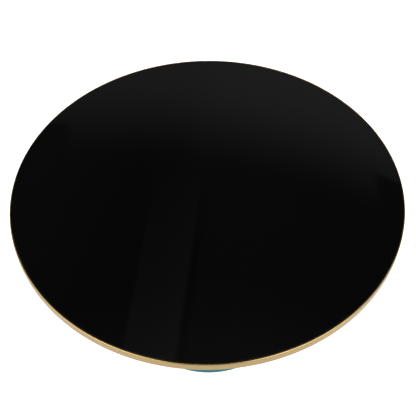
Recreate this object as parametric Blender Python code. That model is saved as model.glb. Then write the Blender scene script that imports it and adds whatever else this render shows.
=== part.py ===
"""Pedestal display turntable: a black glass top in a gold rim that spins on a cast pedestal.

The rotating half is the glass, its rim, a carrier plate, a hub and a steel spindle. The spindle turns in two
shielded ball bearings in the pedestal, 91.5 mm apart, and a lock nut under the lower one keeps it in.
The origin is on the table, under the centre of the foot. +Z is up, and all sizes are in metres.
"""

import math

import bmesh
import bpy
from mathutils import Matrix, Vector

# Driving dimensions
TOP_RADIUS = 0.150
TOTAL_HEIGHT = 0.1675
RIM_HEIGHT = 0.0069
GLASS_THICKNESS = 0.0040
FOOT_RADIUS = 0.0728
FOOT_EDGE_HEIGHT = 0.0085
NECK_RADIUS = 0.0245
HEAD_RADIUS = 0.0300
WALL = 0.0050

# Ball bearing, 15 x 35 x 11 mm with 8 balls
BEARING_BORE_RADIUS = 0.0075
BEARING_OUTER_RADIUS = 0.0175
BEARING_WIDTH = 0.0110
PITCH_RADIUS = 0.0125
BALL_RADIUS = 0.0030
BALL_COUNT = 8
GROOVE_RADIUS = 0.0032
INNER_LAND_RADIUS = 0.0099
OUTER_LAND_RADIUS = 0.0151

# Gaps and segment counts
FACE_GAP = 0.0001
RADIAL_GAP = 0.0001
WIDE_SEGMENTS = 72
BODY_SEGMENTS = 36
SMALL_SEGMENTS = 24
BOLT_SEGMENTS = 12

# Rotating half, from the top down
LIP_HEIGHT = 0.0004
GLASS_TOP_Z = TOTAL_HEIGHT - LIP_HEIGHT
GLASS_Z = GLASS_TOP_Z - GLASS_THICKNESS
RIM_Z = TOTAL_HEIGHT - RIM_HEIGHT
RIM_WALL = 0.0009
RIM_LEDGE_THICKNESS = 0.0012
RIM_LEDGE_RADIUS = 0.138
GLASS_RADIUS = TOP_RADIUS - RIM_WALL - 0.0002
BOND_THICKNESS = 0.0010
PLATE_TOP_Z = GLASS_Z - BOND_THICKNESS
PLATE_THICKNESS = 0.0030
PLATE_RADIUS = 0.105
PLATE_HOLE_RADIUS = 0.0095
HUB_TOP_Z = PLATE_TOP_Z - PLATE_THICKNESS - FACE_GAP
HUB_FLANGE_THICKNESS = 0.0040
HUB_FLANGE_RADIUS = 0.050
HUB_SCREW_CIRCLE_RADIUS = 0.0425
HUB_SCREW_COUNT = 4
SKIRT_OUTER_RADIUS = 0.0350
SKIRT_INNER_RADIUS = 0.0316
SKIRT_Z = 0.1375
HUB_CORE_Z = 0.1507
HUB_BOSS_RADIUS = 0.0130

# Fixed half, from the table up
FOOT_Z = 0.0010
FOOT_RING_INNER_RADIUS = 0.0630
FOOT_RING_OUTER_RADIUS = 0.0700
FOOT_RING_TOP_Z = 0.0032
COVER_RECESS_RADIUS = 0.0590
COVER_LEDGE_RADIUS = 0.0550
COVER_Z = 0.0030
COVER_THICKNESS = 0.0015
LEDGE_Z = COVER_Z + COVER_THICKNESS + FACE_GAP
COVER_SCREW_CIRCLE_RADIUS = 0.0480
COVER_SCREW_COUNT = 3
SHOULDER_RADIUS = 0.0595
SHOULDER_Z = 0.0125
SWEEP_RADIUS = 0.0560
SWEEP_LOW_Z = 0.0142
SWEEP_HIGH_Z = 0.0897
HEAD_Z = 0.1465
TUBE_RADIUS = 0.0215
TUBE_Z = 0.0370
BORE_RADIUS = 0.0145
SEAT_RADIUS = BEARING_OUTER_RADIUS + RADIAL_GAP
UPPER_SEAT_Z = 0.1295
UPPER_BEARING_Z = UPPER_SEAT_Z + FACE_GAP + BEARING_WIDTH / 2
LOWER_SEAT_Z = 0.0492
LOWER_BEARING_Z = LOWER_SEAT_Z - FACE_GAP - BEARING_WIDTH / 2
CLIP_GROOVE_RADIUS = 0.0187
CLIP_GROOVE_Z = UPPER_BEARING_Z + BEARING_WIDTH / 2 + FACE_GAP
CLIP_THICKNESS = 0.0015
CLIP_GROOVE_HEIGHT = 0.0018

# Spindle
SPINDLE_RADIUS = BEARING_BORE_RADIUS - RADIAL_GAP / 2
SPINDLE_TOP_Z = 0.1535
SPINDLE_COLLAR_RADIUS = 0.0100
SPINDLE_COLLAR_Z = UPPER_BEARING_Z + BEARING_WIDTH / 2 + FACE_GAP
SPINDLE_COLLAR_HEIGHT = 0.0038
THREAD_RADIUS = 0.0060
THREAD_TOP_Z = LOWER_BEARING_Z - BEARING_WIDTH / 2
THREAD_BOTTOM_Z = 0.0190
NUT_HEIGHT = 0.0120
NUT_HALF_FLATS = 0.0095

COLOURS = {
    # name: (linear colour, roughness, metallic)
    "black_glass": ((0.004, 0.004, 0.005), 0.03, 0.0),
    "gold_aluminium": ((0.56, 0.40, 0.20), 0.28, 1.0),
    "teal_enamel": ((0.018, 0.19, 0.22), 0.25, 0.0),
    "aluminium": ((0.62, 0.62, 0.63), 0.35, 1.0),
    "steel": ((0.50, 0.50, 0.52), 0.25, 1.0),
    "zinc_steel": ((0.60, 0.60, 0.58), 0.35, 1.0),
    "black_rubber": ((0.012, 0.012, 0.013), 0.80, 0.0),
    "grey_foam": ((0.05, 0.05, 0.055), 0.90, 0.0),
    "black_steel": ((0.02, 0.02, 0.022), 0.45, 0.0),
    "brass": ((0.55, 0.38, 0.12), 0.35, 1.0),
}


def material(name):
    """The named material, made the first time that it is asked for."""
    if name in bpy.data.materials:
        return bpy.data.materials[name]
    colour, roughness, metallic = COLOURS[name]
    made = bpy.data.materials.new(name)
    made.use_nodes = True
    shader = made.node_tree.nodes["Principled BSDF"]
    shader.inputs["Base Color"].default_value = (*colour, 1.0)
    shader.inputs["Roughness"].default_value = roughness
    shader.inputs["Metallic"].default_value = metallic
    made.diffuse_color = (*colour, 1.0)
    return made


def finish(bm, name, material_name, location=(0, 0, 0)):
    """Turns a bmesh into a named object with its material."""
    bmesh.ops.recalc_face_normals(bm, faces=bm.faces)
    mesh = bpy.data.meshes.new(name)
    bm.to_mesh(mesh)
    bm.free()
    mesh.shade_smooth()
    mesh.set_sharp_from_angle(angle=math.radians(35))
    mesh.materials.append(material(material_name))
    made = bpy.data.objects.new(name, mesh)
    made.location = location
    bpy.context.scene.collection.objects.link(made)
    return made


def lathe(name, profile, segments, material_name):
    """A solid turned about Z from a closed outline of (radius, height) points."""
    bm = bmesh.new()
    corners = [bm.verts.new((r, 0, z)) for r, z in profile]
    edges = []
    for first, second in zip(corners, corners[1:] + corners[:1]):
        if first.co.x > 0 or second.co.x > 0:
            edges.append(bm.edges.new((first, second)))
    bmesh.ops.spin(
        bm, geom=corners + edges, cent=(0, 0, 0), axis=(0, 0, 1), angle=math.tau, steps=segments, use_merge=True
    )
    bmesh.ops.remove_doubles(bm, verts=bm.verts, dist=1e-6)
    return finish(bm, name, material_name)


def prism(name, outline, low, high, material_name):
    """An outline of (x, y) points, extruded from one height to another."""
    bm = bmesh.new()
    face = bm.faces.new([bm.verts.new((x, y, low)) for x, y in outline])
    grown = bmesh.ops.extrude_face_region(bm, geom=[face])
    raised = [v for v in grown["geom"] if isinstance(v, bmesh.types.BMVert)]
    bmesh.ops.translate(bm, verts=raised, vec=(0, 0, high - low))
    return finish(bm, name, material_name)


def filleted(corners, step_angle=math.radians(32)):
    """(radius, height) points of an outline whose corners are (radius, height) or (radius, height, fillet)."""
    points = []
    count = len(corners)
    for i, corner in enumerate(corners):
        here = Vector(corner[:2])
        fillet = corner[2] if len(corner) == 3 else 0
        if not fillet:
            points.append(tuple(here))
            continue
        before = (Vector(corners[i - 1][:2]) - here).normalized()
        after = (Vector(corners[(i + 1) % count][:2]) - here).normalized()
        opening = before.angle(after)
        centre = here + (before + after).normalized() * fillet / math.sin(opening / 2)
        start = here + before * fillet / math.tan(opening / 2) - centre
        turn = start.angle_signed(here + after * fillet / math.tan(opening / 2) - centre)
        steps = max(1, math.ceil(abs(turn) / step_angle))
        for k in range(steps + 1):
            points.append(tuple(centre + Matrix.Rotation(-turn * k / steps, 2) @ start))
    return points


def chamfered_ring(inner, outer, low, high, chamfer):
    """Outline of a washer-like ring whose outer edges are chamfered."""
    return [
        (inner, low),
        (outer - chamfer, low),
        (outer, low + chamfer),
        (outer, high - chamfer),
        (outer - chamfer, high),
        (inner, high),
    ]


def arc(centre_r, centre_z, radius_r, radius_z, start_deg, end_deg, steps):
    """(radius, height) points along an arc of a circle or ellipse, 0 degrees pointing outwards and 90 upwards."""
    points = []
    for k in range(steps + 1):
        angle = math.radians(start_deg + (end_deg - start_deg) * k / steps)
        points.append((centre_r + radius_r * math.cos(angle), centre_z + radius_z * math.sin(angle)))
    return points


def around(count, start_deg=0.0):
    """Evenly spaced angles, in radians."""
    return [math.radians(start_deg) + math.tau * k / count for k in range(count)]


def circle_of(count, radius, start_deg):
    """(x, y) places evenly spaced on a circle."""
    return [(radius * math.cos(a), radius * math.sin(a)) for a in around(count, start_deg)]


def regular(sides, half_flats):
    """Corners of a regular polygon, by half its width across the flats."""
    corner = half_flats / math.cos(math.pi / sides)
    return [(corner * math.cos(a), corner * math.sin(a)) for a in around(sides)]


def cylinder_cutter(name, radius, low, high, x=0.0, y=0.0, segments=BOLT_SEGMENTS):
    """A helper cylinder that only cuts."""
    cutter = prism(name, regular(segments, radius), low, high, "steel")
    cutter.location = (x, y, 0)
    return as_cutter(cutter)


def as_cutter(helper):
    helper.hide_render = True
    helper.display_type = "WIRE"
    return helper


def cut(target, cutter, operation="DIFFERENCE"):
    """Cuts the helper out of the target, or joins it on."""
    modifier = target.modifiers.new(f"{operation.lower()}_{cutter.name}", "BOOLEAN")
    modifier.operation = operation
    modifier.solver = "EXACT"
    modifier.object = cutter


def on_pivot(name, members, pivot_z):
    """An empty on the turning axis that carries the members."""
    pivot = bpy.data.objects.new(name, None)
    pivot.location = (0, 0, pivot_z)
    bpy.context.scene.collection.objects.link(pivot)
    bpy.context.view_layer.update()
    for member in members:
        member.parent = pivot
        member.matrix_parent_inverse = pivot.matrix_world.inverted()


def glass_top():
    low, high, edge, chamfer = GLASS_Z, GLASS_TOP_Z, GLASS_RADIUS, 0.0005
    outline = [
        (0, low),
        (edge - chamfer, low),
        (edge, low + chamfer),
        (edge, high - chamfer),
        (edge - chamfer, high),
        (0, high),
    ]
    return lathe("glass_top", outline, WIDE_SEGMENTS, "black_glass")


def edge_rim():
    """L-section hoop: a thin wall round the glass, rounded along its lip, and a ledge under the glass."""
    inner = TOP_RADIUS - RIM_WALL
    outline = [
        (RIM_LEDGE_RADIUS, RIM_Z),
        (TOP_RADIUS - 0.0005, RIM_Z),
        (TOP_RADIUS, RIM_Z + 0.0005),
        (TOP_RADIUS, TOTAL_HEIGHT - 0.0007),
        (TOP_RADIUS - 0.0002, TOTAL_HEIGHT - 0.0002),
        (TOP_RADIUS - 0.0007, TOTAL_HEIGHT),
        (inner, TOTAL_HEIGHT),
        (inner, RIM_Z + RIM_LEDGE_THICKNESS),
        (RIM_LEDGE_RADIUS, RIM_Z + RIM_LEDGE_THICKNESS),
    ]
    return lathe("edge_rim", outline, WIDE_SEGMENTS, "gold_aluminium")


def rim_tape():
    """Foam tape that holds the glass down on the rim's ledge."""
    low = RIM_Z + RIM_LEDGE_THICKNESS + FACE_GAP
    inner, outer, high = RIM_LEDGE_RADIUS + 0.0010, GLASS_RADIUS - 0.0010, GLASS_Z - FACE_GAP
    return lathe("rim_tape", [(inner, low), (outer, low), (outer, high), (inner, high)], BODY_SEGMENTS, "grey_foam")


def bond_pad():
    """Ring of bonding foam between the carrier plate and the glass."""
    low, high = PLATE_TOP_Z + FACE_GAP, GLASS_Z - FACE_GAP
    inner, outer = 0.052, PLATE_RADIUS - 0.003
    return lathe("bond_pad", [(inner, low), (outer, low), (outer, high), (inner, high)], BODY_SEGMENTS, "grey_foam")


def carrier_plate():
    low = PLATE_TOP_Z - PLATE_THICKNESS
    plate = lathe(
        "carrier_plate",
        chamfered_ring(PLATE_HOLE_RADIUS, PLATE_RADIUS, low, PLATE_TOP_Z, 0.0006),
        BODY_SEGMENTS,
        "aluminium",
    )
    for k, (x, y) in enumerate(circle_of(HUB_SCREW_COUNT, HUB_SCREW_CIRCLE_RADIUS, 45)):
        cut(plate, cylinder_cutter(f"cut_plate_{k}", 0.0026, low - 0.001, PLATE_TOP_Z + 0.001, x, y))
    return plate


def hub():
    """Flanged hub with a blind bore for the spindle and a skirt that hangs over the pedestal's head."""
    bore_top = SPINDLE_TOP_Z + FACE_GAP
    flange_z = HUB_TOP_Z - HUB_FLANGE_THICKNESS
    collar_top = SPINDLE_COLLAR_Z + SPINDLE_COLLAR_HEIGHT + FACE_GAP
    outline = filleted(
        [
            (SPINDLE_RADIUS + RADIAL_GAP, collar_top),
            (HUB_BOSS_RADIUS, collar_top),
            (HUB_BOSS_RADIUS, HUB_CORE_Z, 0.0015),
            (SKIRT_INNER_RADIUS, HUB_CORE_Z, 0.0015),
            (SKIRT_INNER_RADIUS, SKIRT_Z),
            (SKIRT_OUTER_RADIUS, SKIRT_Z, 0.0008),
            (SKIRT_OUTER_RADIUS, flange_z, 0.0030),
            (HUB_FLANGE_RADIUS, flange_z, 0.0008),
            (HUB_FLANGE_RADIUS, HUB_TOP_Z),
            (0.0084, HUB_TOP_Z),
            (0.0044, HUB_TOP_Z - 0.0040),
            (0.0044, bore_top),
            (SPINDLE_RADIUS + RADIAL_GAP, bore_top),
        ],
        math.radians(95),
    )
    made = lathe("hub", outline, BODY_SEGMENTS, "aluminium")
    for k, (x, y) in enumerate(circle_of(HUB_SCREW_COUNT, HUB_SCREW_CIRCLE_RADIUS, 45)):
        cut(made, cylinder_cutter(f"cut_hub_{k}", 0.0027, flange_z - 0.001, HUB_TOP_Z + 0.001, x, y))
    return made


def hub_bolt():
    """Countersunk bolt that clamps the hub down on the spindle."""
    head_z = HUB_TOP_Z - 0.0002
    outline = [
        (0, SPINDLE_TOP_Z - 0.0140),
        (0.0036, SPINDLE_TOP_Z - 0.0140),
        (0.0040, SPINDLE_TOP_Z - 0.0136),
        (0.0040, head_z - 0.0038),
        (0.0078, head_z),
        (0, head_z),
    ]
    bolt = lathe("hub_bolt", outline, BOLT_SEGMENTS, "zinc_steel")
    socket = prism("cut_bolt_socket", regular(6, 0.0025), head_z - 0.0030, head_z + 0.001, "steel")
    cut(bolt, as_cutter(socket))
    return bolt


def screws(name, outline, recess, recess_top, places):
    """Screws with their heads down, each turned from one outline and with a recess cut up into its head."""
    made = []
    for k, (x, y) in enumerate(places, 1):
        screw = lathe(f"{name}_{k}", outline, BOLT_SEGMENTS, "zinc_steel")
        cutter = as_cutter(prism(f"cut_{name}_{k}", recess, recess_top - 0.0030, recess_top, "steel"))
        screw.location = (x, y, 0)
        cutter.location = (x, y, 0)
        cut(screw, cutter)
        made.append(screw)
    return made


def hub_screws():
    """Socket screws that go up through the hub's flange into the carrier plate."""
    seat = HUB_TOP_Z - HUB_FLANGE_THICKNESS - FACE_GAP
    outline = [
        (0, seat - 0.0027),
        (0.0030, seat - 0.0027),
        (0.0046, seat - 0.0010),
        (0.0047, seat),
        (0.0025, seat),
        (0.0025, PLATE_TOP_Z - 0.0005),
        (0.0021, PLATE_TOP_Z - 0.0001),
        (0, PLATE_TOP_Z - 0.0001),
    ]
    places = circle_of(HUB_SCREW_COUNT, HUB_SCREW_CIRCLE_RADIUS, 45)
    return screws("hub_screw", outline, regular(6, 0.0015), seat - 0.0010, places)


def spindle():
    collar_low, collar_high = SPINDLE_COLLAR_Z, SPINDLE_COLLAR_Z + SPINDLE_COLLAR_HEIGHT
    outline = [
        (0, THREAD_BOTTOM_Z),
        (THREAD_RADIUS - 0.0008, THREAD_BOTTOM_Z),
        (THREAD_RADIUS, THREAD_BOTTOM_Z + 0.0008),
        (THREAD_RADIUS, THREAD_TOP_Z),
        (SPINDLE_RADIUS, THREAD_TOP_Z),
        (SPINDLE_RADIUS, collar_low),
        (SPINDLE_COLLAR_RADIUS, collar_low),
        (SPINDLE_COLLAR_RADIUS, collar_high),
        (SPINDLE_RADIUS, collar_high),
        (SPINDLE_RADIUS, SPINDLE_TOP_Z - 0.0005),
        (SPINDLE_RADIUS - 0.0005, SPINDLE_TOP_Z),
        (0.0042, SPINDLE_TOP_Z),
        (0.0042, SPINDLE_TOP_Z - 0.0160),
        (0, SPINDLE_TOP_Z - 0.0160),
    ]
    return lathe("spindle", outline, SMALL_SEGMENTS, "steel")


def inner_spacer():
    """Sleeve between the two inner rings, which carries the nut's clamping force."""
    low = LOWER_BEARING_Z + BEARING_WIDTH / 2 + FACE_GAP
    high = UPPER_BEARING_Z - BEARING_WIDTH / 2 - FACE_GAP
    inner, outer = BEARING_BORE_RADIUS + RADIAL_GAP, 0.0096
    return lathe("inner_spacer", [(inner, low), (outer, low), (outer, high), (inner, high)], SMALL_SEGMENTS, "aluminium")


def nut_stack():
    """Flat washer, spring washer and hexagonal lock nut under the lower bearing."""
    top = THREAD_TOP_Z - FACE_GAP
    inner = THREAD_RADIUS + 0.0002
    washer = lathe(
        "flat_washer",
        [(inner, top - 0.0020), (0.0098, top - 0.0020), (0.0098, top), (inner, top)],
        SMALL_SEGMENTS,
        "zinc_steel",
    )
    dish_top = top - 0.0020 - FACE_GAP
    dish = lathe(
        "spring_washer",
        [(inner, dish_top - 0.0010), (0.0110, dish_top - 0.0018), (0.0110, dish_top - 0.0008), (inner, dish_top)],
        SMALL_SEGMENTS,
        "steel",
    )
    nut_top = dish_top - 0.0018 - FACE_GAP
    nut = prism("lock_nut", regular(6, NUT_HALF_FLATS), nut_top - NUT_HEIGHT, nut_top, "zinc_steel")
    cut(nut, cylinder_cutter("cut_nut", inner, nut_top - 0.014, nut_top + 0.001, segments=SMALL_SEGMENTS))
    return [washer, dish, nut]


def bearing_rings(prefix, centre_z):
    """Outer ring, inner ring and the two shields of one bearing."""
    low, high = centre_z - BEARING_WIDTH / 2, centre_z + BEARING_WIDTH / 2
    edge = 0.0005
    groove_deg = math.degrees(math.acos((OUTER_LAND_RADIUS - PITCH_RADIUS) / GROOVE_RADIUS))
    inner_deg = math.degrees(math.acos((PITCH_RADIUS - INNER_LAND_RADIUS) / GROOVE_RADIUS))
    outer_groove = arc(PITCH_RADIUS, centre_z, GROOVE_RADIUS, GROOVE_RADIUS, groove_deg, -groove_deg, 3)
    inner_groove = arc(PITCH_RADIUS, centre_z, GROOVE_RADIUS, GROOVE_RADIUS, 180 + inner_deg, 180 - inner_deg, 3)
    outer = lathe(
        f"{prefix}_outer_ring",
        [
            (OUTER_LAND_RADIUS, low),
            (BEARING_OUTER_RADIUS - edge, low),
            (BEARING_OUTER_RADIUS, low + edge),
            (BEARING_OUTER_RADIUS, high - edge),
            (BEARING_OUTER_RADIUS - edge, high),
            (OUTER_LAND_RADIUS, high),
        ]
        + outer_groove,
        SMALL_SEGMENTS,
        "steel",
    )
    inner = lathe(
        f"{prefix}_inner_ring",
        [(INNER_LAND_RADIUS, high), (BEARING_BORE_RADIUS, high), (BEARING_BORE_RADIUS, low), (INNER_LAND_RADIUS, low)]
        + inner_groove,
        SMALL_SEGMENTS,
        "steel",
    )
    shields = []
    for side, middle in (("top", high - 0.0005), ("bottom", low + 0.0005)):
        outline = [
            (INNER_LAND_RADIUS + 0.0003, middle - 0.0002),
            (OUTER_LAND_RADIUS - 0.0002, middle - 0.0002),
            (OUTER_LAND_RADIUS - 0.0002, middle + 0.0002),
            (INNER_LAND_RADIUS + 0.0003, middle + 0.0002),
        ]
        shields.append(lathe(f"{prefix}_shield_{side}", outline, SMALL_SEGMENTS, "zinc_steel"))
    return outer, inner, shields


def ball_cage(prefix, centre_z):
    """The brass cage of one bearing, with round pockets, and the balls in it."""
    half_height, inner, outer = 0.0040, 0.0113, 0.0137
    cage = lathe(
        f"{prefix}_ball_cage",
        [
            (inner, centre_z - half_height),
            (outer, centre_z - half_height),
            (outer, centre_z + half_height),
            (inner, centre_z + half_height),
        ],
        SMALL_SEGMENTS,
        "brass",
    )
    balls = []
    for k, angle in enumerate(around(BALL_COUNT), 1):
        pocket = cylinder_cutter(f"cut_{prefix}_pocket_{k}", BALL_RADIUS + 0.0002, -0.0025, 0.0025, segments=10)
        outwards = Vector((math.cos(angle), math.sin(angle), 0))
        centre = outwards * PITCH_RADIUS + Vector((0, 0, centre_z))
        pocket.matrix_world = Matrix.Translation(centre) @ outwards.to_track_quat("Z", "Y").to_matrix().to_4x4()
        cut(cage, pocket)
        bm = bmesh.new()
        bmesh.ops.create_uvsphere(bm, u_segments=10, v_segments=6, radius=BALL_RADIUS)
        balls.append(finish(bm, f"{prefix}_ball_{k}", "steel", centre))
    return [cage, *balls]


def retaining_clip():
    """Internal circlip over the upper bearing, open at the front, with a lug and plier hole at each end."""
    outer, inner, lug = CLIP_GROOVE_RADIUS - 0.0002, 0.0162, 0.0138
    gap_deg, lug_deg, hole_deg, hole_circle = 5, 19, 12, 0.0153
    front, low = -90, CLIP_GROOVE_Z + FACE_GAP
    outline = arc(0, 0, outer, outer, front + gap_deg, front + 360 - gap_deg, 24)
    outline += arc(0, 0, lug, lug, front + 360 - gap_deg, front + 360 - lug_deg, 2)
    outline += arc(0, 0, inner, inner, front + 360 - lug_deg - 4, front + lug_deg + 4, 20)
    outline += arc(0, 0, lug, lug, front + lug_deg, front + gap_deg, 2)
    clip = prism("retaining_clip", outline, low, low + CLIP_THICKNESS, "black_steel")
    for side in (1, -1):
        angle = math.radians(front + side * hole_deg)
        x, y = hole_circle * math.cos(angle), hole_circle * math.sin(angle)
        cut(clip, cylinder_cutter(f"cut_clip_{side}", 0.0007, low - 0.001, low + 0.003, x, y, segments=8))
    return clip


def sweep(inset, start_deg, end_deg, steps):
    """The pedestal's concave sweep from foot to neck, or the same curve inset into the casting."""
    radius_r, radius_z = SWEEP_RADIUS - NECK_RADIUS + inset, SWEEP_HIGH_Z - SWEEP_LOW_Z + inset
    return arc(SWEEP_RADIUS, SWEEP_HIGH_Z, radius_r, radius_z, start_deg, end_deg, steps)


def pedestal():
    """Hollow casting: foot, swept column and head, with a bearing tube down its middle."""
    shoulder_inner = SHOULDER_RADIUS - 0.0008
    foot = filleted(
        [
            (FOOT_RING_OUTER_RADIUS, FOOT_RING_TOP_Z),
            (FOOT_RING_OUTER_RADIUS, FOOT_Z),
            (FOOT_RADIUS, FOOT_Z, 0.0008),
            (FOOT_RADIUS, FOOT_Z + FOOT_EDGE_HEIGHT, 0.0025),
            (SHOULDER_RADIUS, SHOULDER_Z),
            (shoulder_inner, SWEEP_LOW_Z),
            (SWEEP_RADIUS, SWEEP_LOW_Z),
        ],
        math.radians(60),
    )
    head = filleted(
        [
            (NECK_RADIUS, SWEEP_HIGH_Z),
            (NECK_RADIUS, 0.1195, 0.0100),
            (HEAD_RADIUS, 0.1285, 0.0060),
            (HEAD_RADIUS, HEAD_Z, 0.0012),
            (SEAT_RADIUS + 0.0006, HEAD_Z),
            (SEAT_RADIUS, HEAD_Z - 0.0006),
        ],
        math.radians(50),
    )
    bore = [
        (SEAT_RADIUS, CLIP_GROOVE_Z + CLIP_GROOVE_HEIGHT),
        (CLIP_GROOVE_RADIUS, CLIP_GROOVE_Z + CLIP_GROOVE_HEIGHT),
        (CLIP_GROOVE_RADIUS, CLIP_GROOVE_Z),
        (SEAT_RADIUS, CLIP_GROOVE_Z),
        (SEAT_RADIUS, UPPER_SEAT_Z),
        (BORE_RADIUS, UPPER_SEAT_Z),
        (BORE_RADIUS, LOWER_SEAT_Z),
        (SEAT_RADIUS, LOWER_SEAT_Z),
        (SEAT_RADIUS, TUBE_Z),
        (TUBE_RADIUS, TUBE_Z),
    ]
    cavity = sweep(WALL, 205, 266, 5)
    hollow = [
        (TUBE_RADIUS, cavity[0][1]),
        *cavity,
        (COVER_LEDGE_RADIUS, cavity[-1][1]),
        (COVER_LEDGE_RADIUS, LEDGE_Z),
        (COVER_RECESS_RADIUS, LEDGE_Z),
        (COVER_RECESS_RADIUS, FOOT_Z),
        (FOOT_RING_INNER_RADIUS, FOOT_Z),
        (FOOT_RING_INNER_RADIUS, FOOT_RING_TOP_Z),
    ]
    made = lathe(
        "pedestal", foot + sweep(0, 270, 180, 8)[1:-1] + head + bore + hollow, BODY_SEGMENTS, "teal_enamel"
    )
    for k, angle in enumerate(around(2 * COVER_SCREW_COUNT, 90)):
        cut(made, rib(k, angle), "UNION")
    for k, (x, y) in enumerate(circle_of(COVER_SCREW_COUNT, COVER_SCREW_CIRCLE_RADIUS, 90)):
        cut(made, cylinder_cutter(f"join_boss_{k}", 0.0055, LEDGE_Z, 0.0138, x, y, segments=12), "UNION")
        cut(made, cylinder_cutter(f"cut_boss_{k}", 0.0021, 0.0, 0.0120, x, y, segments=12))
    return made


def rib(number, angle):
    """A web in the casting's hollow, between the bearing tube and the swept wall."""
    half = 0.0020
    inside_tube = TUBE_RADIUS - 0.0015
    outline = [
        (inside_tube, 0.0400),
        (TUBE_RADIUS, 0.0400),
        (0.0320, 0.0130),
        (0.0460, 0.0075),
        (0.0540, 0.0075),
        (0.0540, 0.0115),
    ]
    inside_wall = sweep(WALL / 2, 205, 262, 5)
    outline += reversed(inside_wall)
    outline.append((inside_tube, inside_wall[0][1]))
    bm = bmesh.new()
    face = bm.faces.new([bm.verts.new((r, -half, z)) for r, z in outline])
    grown = bmesh.ops.extrude_face_region(bm, geom=[face])
    far = [v for v in grown["geom"] if isinstance(v, bmesh.types.BMVert)]
    bmesh.ops.translate(bm, verts=far, vec=(0, 2 * half, 0))
    web = finish(bm, f"join_rib_{number}", "teal_enamel")
    web.rotation_euler = (0, 0, angle)
    return as_cutter(web)


def foot_ring():
    """Rubber ring in the foot's groove, which is all that touches the table."""
    inner, outer = FOOT_RING_INNER_RADIUS + 0.0002, FOOT_RING_OUTER_RADIUS - 0.0002
    high, edge = FOOT_RING_TOP_Z - FACE_GAP, 0.0004
    outline = [
        (inner + edge, 0),
        (outer - edge, 0),
        (outer, edge),
        (outer, high),
        (inner, high),
        (inner, edge),
    ]
    return lathe("foot_ring", outline, BODY_SEGMENTS, "black_rubber")


def bottom_cover():
    outer, low, high = COVER_RECESS_RADIUS - 0.0004, COVER_Z, COVER_Z + COVER_THICKNESS
    cover = lathe("bottom_cover", [(0, low), (outer, low), (outer, high), (0, high)], BODY_SEGMENTS, "black_steel")
    for k, (x, y) in enumerate(circle_of(COVER_SCREW_COUNT, COVER_SCREW_CIRCLE_RADIUS, 90)):
        cut(cover, cylinder_cutter(f"cut_cover_{k}", 0.0022, low - 0.001, high + 0.001, x, y, segments=12))
    return cover


def cover_screws():
    """Pan-head screws with a cross recess that hold the bottom cover."""
    seat = COVER_Z - FACE_GAP
    outline = [
        (0, seat - 0.0018),
        (0.0026, seat - 0.0018),
        (0.0037, seat - 0.0010),
        (0.0038, seat),
        (0.0019, seat),
        (0.0019, 0.0108),
        (0.0015, 0.0112),
        (0, 0.0112),
    ]
    long, short = 0.0019, 0.0004
    cross = []
    for turn in range(4):
        for x, y in ((long, -short), (long, short), (short, short)):
            spun = Matrix.Rotation(math.tau * turn / 4, 2) @ Vector((x, y))
            cross.append(tuple(spun))
    places = circle_of(COVER_SCREW_COUNT, COVER_SCREW_CIRCLE_RADIUS, 90)
    return screws("cover_screw", outline, cross, seat - 0.0006, places)


def main():
    for old in list(bpy.data.objects):
        bpy.data.objects.remove(old)
    upper_outer, upper_inner, upper_shields = bearing_rings("upper", UPPER_BEARING_Z)
    lower_outer, lower_inner, lower_shields = bearing_rings("lower", LOWER_BEARING_Z)
    rotating = [glass_top(), edge_rim(), rim_tape(), bond_pad(), carrier_plate(), hub(), hub_bolt()]
    rotating += [*hub_screws(), spindle(), inner_spacer(), *nut_stack(), upper_inner, lower_inner]
    fixed = [pedestal(), foot_ring(), bottom_cover(), *cover_screws(), retaining_clip()]
    fixed += [upper_outer, lower_outer, *upper_shields, *lower_shields]
    on_pivot("base_frame", fixed, 0.0)
    on_pivot("table_axis", rotating, UPPER_BEARING_Z)
    on_pivot("upper_cage_axis", ball_cage("upper", UPPER_BEARING_Z), UPPER_BEARING_Z)
    on_pivot("lower_cage_axis", ball_cage("lower", LOWER_BEARING_Z), LOWER_BEARING_Z)


main()
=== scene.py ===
"""Looks of the pedestal display turntable: a black glass top in a gold rim on a teal cast pedestal.

Each CAD node is hidden behind a finely built piece of the same place and size, which moves with its body.
Positions are in metres. The origin is on the table under the centre of the foot, and +Z is up.
"""

import math

import bpy
from mathutils import Matrix, Vector


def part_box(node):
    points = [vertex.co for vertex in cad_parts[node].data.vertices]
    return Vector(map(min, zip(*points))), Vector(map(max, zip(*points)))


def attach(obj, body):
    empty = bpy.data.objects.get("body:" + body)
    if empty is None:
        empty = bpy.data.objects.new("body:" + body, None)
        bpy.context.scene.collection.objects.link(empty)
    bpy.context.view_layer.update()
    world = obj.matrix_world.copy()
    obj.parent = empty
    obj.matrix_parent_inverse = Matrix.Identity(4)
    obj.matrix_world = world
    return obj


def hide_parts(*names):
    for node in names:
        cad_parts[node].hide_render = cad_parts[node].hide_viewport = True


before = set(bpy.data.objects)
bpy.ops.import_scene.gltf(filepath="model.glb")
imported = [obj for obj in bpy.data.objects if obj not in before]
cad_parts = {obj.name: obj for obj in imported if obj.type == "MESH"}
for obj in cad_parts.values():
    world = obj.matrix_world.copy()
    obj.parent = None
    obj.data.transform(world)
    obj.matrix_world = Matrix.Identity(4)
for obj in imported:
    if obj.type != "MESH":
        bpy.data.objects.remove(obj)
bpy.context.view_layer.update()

FLOOR_GLOW = 0.70  # emission that the camera alone sees, so that the floor is almost white behind the object
DIFFUSE_SKY = 1.0  # radiance of the sky on matt surfaces
SHARP_ANGLE = math.radians(28)  # edges that turn by more than this stay sharp in smooth shading
PAST = 0.001  # how far a cutting shape reaches past the faces that it cuts

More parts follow.
